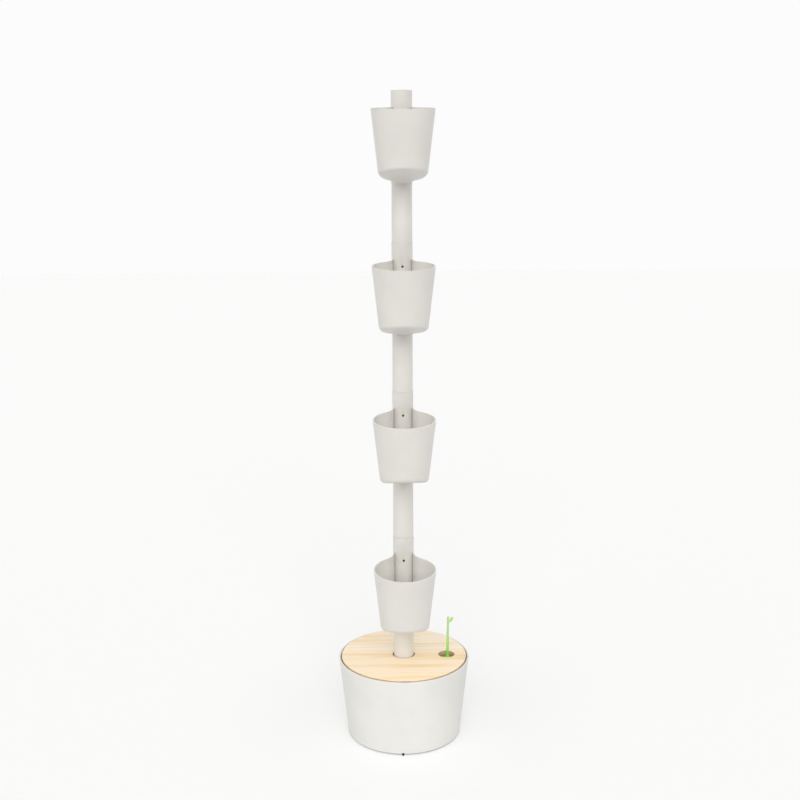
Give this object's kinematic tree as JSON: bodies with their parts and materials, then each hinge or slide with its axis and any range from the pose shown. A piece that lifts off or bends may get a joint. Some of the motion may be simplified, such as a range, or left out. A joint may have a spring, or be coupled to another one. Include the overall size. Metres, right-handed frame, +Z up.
{
  "type": "planter tower",
  "caption": "Self-watering vertical planter: round tank with a wooden lid and level gauge, carrying a column of turning pots stacked in a row.",
  "frame": {"origin": "on the floor under the middle of the column, at the bottom of the centre foot", "axes": "+Z up along the column, pots face -Y, level gauge near +X (the tank stands turned 3 degrees to the pots)"},
  "size_m": [0.3357, 0.3586, 1.647],
  "materials": {
    "pot_plastic": "fine matt moulded",
    "tube_plastic": "fine matt extruded",
    "tank_plastic": "fine matt moulded",
    "pine": "oiled, edge-glued strips",
    "dark_plastic": "matt",
    "grey_plastic": "matt",
    "sprout_green": "satin",
    "float_yellow": "foamed, matt",
    "guide_clear": "translucent white",
    "rubber_black": "matt",
    "silicone": "milky",
    "steel": "bright"
  },
  "bodies": {
    "base": {"tank": "tank_plastic", "base_plate": "tank_plastic", "base_screws": "steel", "base_feet": "rubber_black", "lead_grommet": "rubber_black", "control_case": "grey_plastic", "control_cover": "grey_plastic", "cable_gland": "dark_plastic", "column_foot": "tube_plastic", "foot_screws": "steel", "pump_body": "dark_plastic", "pump_cover": "dark_plastic", "pump_shaft": "steel", "pump_cups": "rubber_black", "feed_hose": "silicone", "hose_clips": "steel", "gauge_guide": "guide_clear"},
    "lid": {"lid_board": "pine"},
    "gauge": {"gauge_float": "float_yellow", "gauge_sprout": "sprout_green"},
    "rotor": {"pump_rotor": "grey_plastic"},
    "module_1": {"pot_1": "pot_plastic", "tube_1": "tube_plastic", "seal_1": "rubber_black", "riser_1": "grey_plastic", "nozzle_1": "rubber_black", "strainer_1": "dark_plastic"},
    "module_2": {"pot_2": "pot_plastic", "tube_2": "tube_plastic", "seal_2": "rubber_black", "riser_2": "grey_plastic", "nozzle_2": "rubber_black", "strainer_2": "dark_plastic"},
    "module_3": {"pot_3": "pot_plastic", "tube_3": "tube_plastic", "seal_3": "rubber_black", "riser_3": "grey_plastic", "nozzle_3": "rubber_black", "strainer_3": "dark_plastic"},
    "module_4": {"pot_4": "pot_plastic", "tube_4": "tube_plastic", "seal_4": "rubber_black", "riser_4": "grey_plastic", "nozzle_4": "rubber_black", "strainer_4": "dark_plastic", "riser_stopper": "dark_plastic"}
  },
  "joints": [
    {"name": "pot_1_turn", "type": "hinge", "parent": "base", "child": "module_1", "pos_m": [0, 0, 0.1203], "axis": [0, 0, 1], "continuous": true},
    {"name": "pot_2_turn", "type": "hinge", "parent": "module_1", "child": "module_2", "pos_m": [0, 0, 0.5163], "axis": [0, 0, 1], "continuous": true},
    {"name": "pot_3_turn", "type": "hinge", "parent": "module_2", "child": "module_3", "pos_m": [0, 0, 0.8933], "axis": [0, 0, 1], "continuous": true},
    {"name": "pot_4_turn", "type": "hinge", "parent": "module_3", "child": "module_4", "pos_m": [0, 0, 1.2703], "axis": [0, 0, 1], "continuous": true},
    {"name": "lid_lift", "type": "slide", "parent": "base", "child": "lid", "axis": [0, 0, 1], "range_m": [0, 0.08]},
    {"name": "gauge_slide", "type": "slide", "parent": "base", "child": "gauge", "axis": [0, 0, 1], "range_m": [-0.115, 0]},
    {"name": "pump_spin", "type": "hinge", "parent": "base", "child": "rotor", "pos_m": [-0.09487, 0.00497, 0.056], "axis": [0.0523, 0.9986, 0], "continuous": true}
  ]
}
